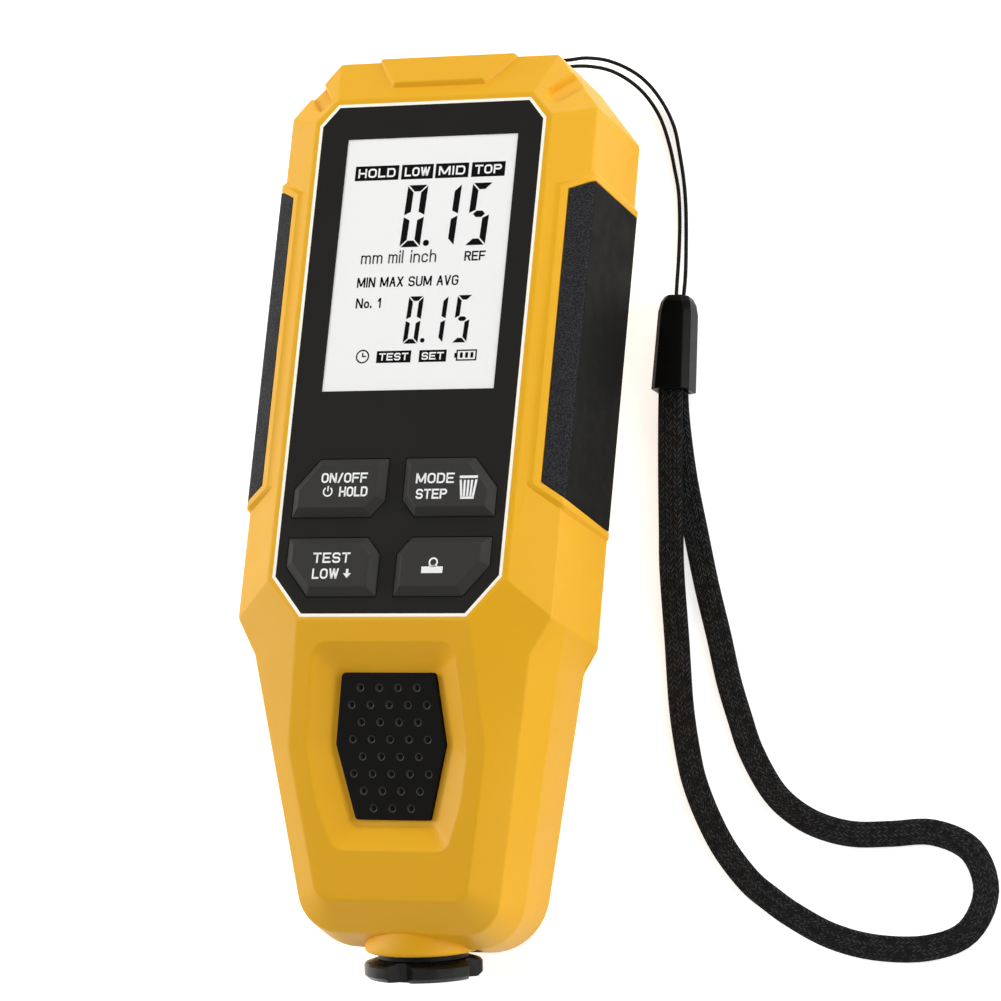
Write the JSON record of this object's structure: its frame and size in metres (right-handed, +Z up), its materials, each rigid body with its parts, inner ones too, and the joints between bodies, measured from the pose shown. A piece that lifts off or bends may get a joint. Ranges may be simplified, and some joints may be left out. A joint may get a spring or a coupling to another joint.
{
  "type": "coating thickness gauge",
  "caption": "Handheld coating thickness gauge with a bent tapering body, display, keypad, side grips, built-in end probe and a wrist strap on its lanyard bar.",
  "frame": {"origin": "middle of the length and width of the gauge, on the table it lies on", "axes": "+X to the right of the display, +Y along the gauge to its strap end, +Z up from the table; the gauge lies on its back, 4.6 degrees nose down"},
  "size_m": [0.1127, 0.1458, 0.0355],
  "materials": {
    "yellow_plastic": "satin moulded yellow",
    "black_rubber": "fine grained matt",
    "panel_black": "printed panel with a light display field",
    "key_grey": "matt silicone",
    "display": "light grey display",
    "white_plastic": "matt white",
    "board_green": "solder mask green",
    "switch_black": "matt black",
    "cell_jacket": "printed jacket",
    "steel": "bright steel",
    "ring_metal": "dark turned ring",
    "black_plastic": "gloss black",
    "coil_copper": "copper coloured wire",
    "cord_black": "thin black cord",
    "webbing_black": "braided black webbing"
  },
  "bodies": {
    "case": {"front_shell": "yellow_plastic", "rear_cover": "yellow_plastic", "grip_left": "black_rubber", "grip_right": "black_rubber", "thumb_pad": "black_rubber", "face_panel": "panel_black", "lcd_glass": "display", "lcd_backlight": "white_plastic", "key_mat": "key_grey", "main_board": "board_green", "buzzer": "switch_black", "cell_left": "cell_jacket", "cell_right": "cell_jacket", "cell_contact_low": "steel", "cell_contact_top": "steel", "cell_spring_left": "steel", "cell_spring_right": "steel", "sensor_coil": "coil_copper", "probe_spring": "steel", "screw_top_left": "steel", "screw_top_right": "steel", "screw_low_left": "steel", "screw_low_right": "steel", "probe_neck": "yellow_plastic", "probe_ring": "ring_metal", "probe_foot": "black_plastic", "strap_cord": "cord_black", "strap_clasp": "black_plastic", "strap_webbing": "webbing_black"},
    "door": {"battery_door": "yellow_plastic"},
    "tip": {"probe_tip": "steel"},
    "power_key": {"key_power": "key_grey"},
    "delete_key": {"key_delete": "key_grey"},
    "mode_key": {"key_mode": "key_grey"},
    "zero_key": {"key_zero": "key_grey"}
  },
  "joints": [
    {"name": "key_power_press", "type": "slide", "parent": "case", "child": "power_key", "axis": [0, -0.0802, -0.9968], "range_m": [0, 0.0006], "stiffness_N_per_m": 600, "springref_m": -0.001},
    {"name": "key_delete_press", "type": "slide", "parent": "case", "child": "delete_key", "axis": [0, -0.0802, -0.9968], "range_m": [0, 0.0006], "stiffness_N_per_m": 600, "springref_m": -0.001},
    {"name": "key_mode_press", "type": "slide", "parent": "case", "child": "mode_key", "axis": [0, -0.0802, -0.9968], "range_m": [0, 0.0006], "stiffness_N_per_m": 600, "springref_m": -0.001},
    {"name": "key_zero_press", "type": "slide", "parent": "case", "child": "zero_key", "axis": [0, -0.0802, -0.9968], "range_m": [0, 0.0006], "stiffness_N_per_m": 600, "springref_m": -0.001},
    {"name": "tip_press", "type": "slide", "parent": "case", "child": "tip", "axis": [0, 0.9682, 0.2504], "range_m": [0, 0.0007], "stiffness_N_per_m": 400, "springref_m": -0.001, "deforming": ["probe_spring"]},
    {"name": "door_slide", "type": "slide", "parent": "case", "child": "door", "axis": [0, 0.9968, -0.0802], "range_m": [0, 0.04]}
  ]
}
